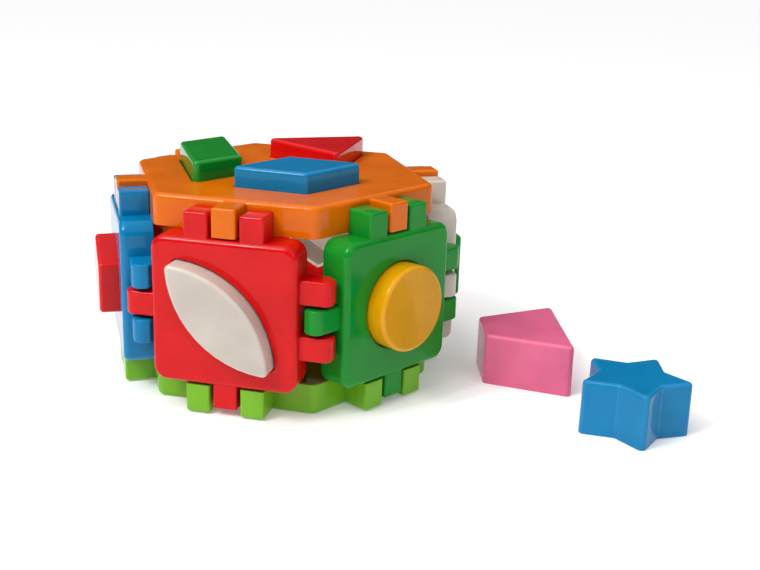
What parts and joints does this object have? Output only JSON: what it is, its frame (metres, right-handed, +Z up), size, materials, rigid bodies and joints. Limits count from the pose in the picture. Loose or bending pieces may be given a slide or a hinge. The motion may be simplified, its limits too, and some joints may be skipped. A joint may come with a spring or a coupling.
{
  "type": "shape sorter",
  "caption": "Six-sided drum of clip-together moulded panels, with shaped holes and hollow push-in shapes.",
  "frame": {"origin": "centre of the drum's base, on the plane it stands on", "axes": "+Z up along the drum's axis; -Y is the outward normal of the front left panel; +X points to the corner between the front right and right panels, and to the two loose shapes"},
  "size_m": [0.3114, 0.192, 0.1136],
  "materials": {
    "orange_plastic": "injection-moulded, glossy",
    "lime_plastic": "injection-moulded, glossy",
    "red_plastic": "injection-moulded, glossy",
    "green_plastic": "injection-moulded, glossy",
    "white_plastic": "injection-moulded, glossy",
    "blue_plastic": "injection-moulded, glossy",
    "yellow_plastic": "injection-moulded, glossy",
    "pink_plastic": "injection-moulded, glossy"
  },
  "bodies": {
    "drum_base": {"bottom_plate": "lime_plastic"},
    "lid": {"top_plate": "orange_plastic"},
    "front_left_side": {"front_left_panel": "red_plastic"},
    "lens": {"lens_shape": "white_plastic"},
    "front_right_side": {"front_right_panel": "green_plastic"},
    "disc": {"disc_shape": "yellow_plastic"},
    "right_side": {"right_panel": "white_plastic"},
    "square": {"square_shape": "green_plastic"},
    "back_right_side": {"back_right_panel": "red_plastic"},
    "hexagon": {"hexagon_shape": "white_plastic"},
    "back_left_side": {"back_left_panel": "orange_plastic"},
    "cross": {"cross_shape": "blue_plastic"},
    "left_side": {"left_panel": "blue_plastic"},
    "pentagon": {"pentagon_shape": "red_plastic"},
    "parallelogram": {"parallelogram_shape": "green_plastic"},
    "rhombus": {"rhombus_shape": "blue_plastic"},
    "triangle": {"triangle_shape": "red_plastic"},
    "octagon": {"octagon_shape": "yellow_plastic"},
    "trapezoid": {"trapezoid_shape": "pink_plastic"},
    "star": {"star_shape": "blue_plastic"}
  },
  "joints": [
    {"name": "lid_lift", "type": "slide", "parent": "drum_base", "child": "lid", "axis": [0, 0, 1], "range_m": [0, 0.02]},
    {"name": "front_left_panel_unclip", "type": "slide", "parent": "drum_base", "child": "front_left_side", "axis": [0, -1, 0], "range_m": [0, 0.015]},
    {"name": "lens_pull", "type": "slide", "parent": "front_left_side", "child": "lens", "axis": [0, -1, 0], "range_m": [0, 0.02]},
    {"name": "front_right_panel_unclip", "type": "slide", "parent": "drum_base", "child": "front_right_side", "axis": [0.866, -0.5, 0], "range_m": [0, 0.015]},
    {"name": "disc_pull", "type": "slide", "parent": "front_right_side", "child": "disc", "axis": [0.866, -0.5, 0], "range_m": [0, 0.02]},
    {"name": "right_panel_unclip", "type": "slide", "parent": "drum_base", "child": "right_side", "axis": [0.866, 0.5, 0], "range_m": [0, 0.015]},
    {"name": "square_pull", "type": "slide", "parent": "right_side", "child": "square", "axis": [0.866, 0.5, 0], "range_m": [0, 0.02]},
    {"name": "back_right_panel_unclip", "type": "slide", "parent": "drum_base", "child": "back_right_side", "axis": [0, 1, 0], "range_m": [0, 0.015]},
    {"name": "hexagon_pull", "type": "slide", "parent": "back_right_side", "child": "hexagon", "axis": [0, 1, 0], "range_m": [0, 0.02]},
    {"name": "back_left_panel_unclip", "type": "slide", "parent": "drum_base", "child": "back_left_side", "axis": [-0.866, 0.5, 0], "range_m": [0, 0.015]},
    {"name": "cross_pull", "type": "slide", "parent": "back_left_side", "child": "cross", "axis": [-0.866, 0.5, 0], "range_m": [0, 0.02]},
    {"name": "left_panel_unclip", "type": "slide", "parent": "drum_base", "child": "left_side", "axis": [-0.866, -0.5, 0], "range_m": [0, 0.015]},
    {"name": "pentagon_pull", "type": "slide", "parent": "left_side", "child": "pentagon", "axis": [-0.866, -0.5, 0], "range_m": [0, 0.02]},
    {"name": "parallelogram_pull", "type": "slide", "parent": "lid", "child": "parallelogram", "axis": [0, 0, 1], "range_m": [0, 0.02]},
    {"name": "rhombus_pull", "type": "slide", "parent": "lid", "child": "rhombus", "axis": [0, 0, 1], "range_m": [0, 0.02]},
    {"name": "triangle_pull", "type": "slide", "parent": "lid", "child": "triangle", "axis": [0, 0, 1], "range_m": [0, 0.02]},
    {"name": "octagon_push", "type": "slide", "parent": "drum_base", "child": "octagon", "axis": [0, 0, 1], "range_m": [0, 0.017]},
    {"name": "trapezoid_slide", "type": "slide", "parent": "drum_base", "child": "trapezoid", "axis": [0, 1, 0], "range_m": [0, 0.03]},
    {"name": "star_slide", "type": "slide", "parent": "drum_base", "child": "star", "axis": [0, -1, 0], "range_m": [0, 0.03]}
  ]
}
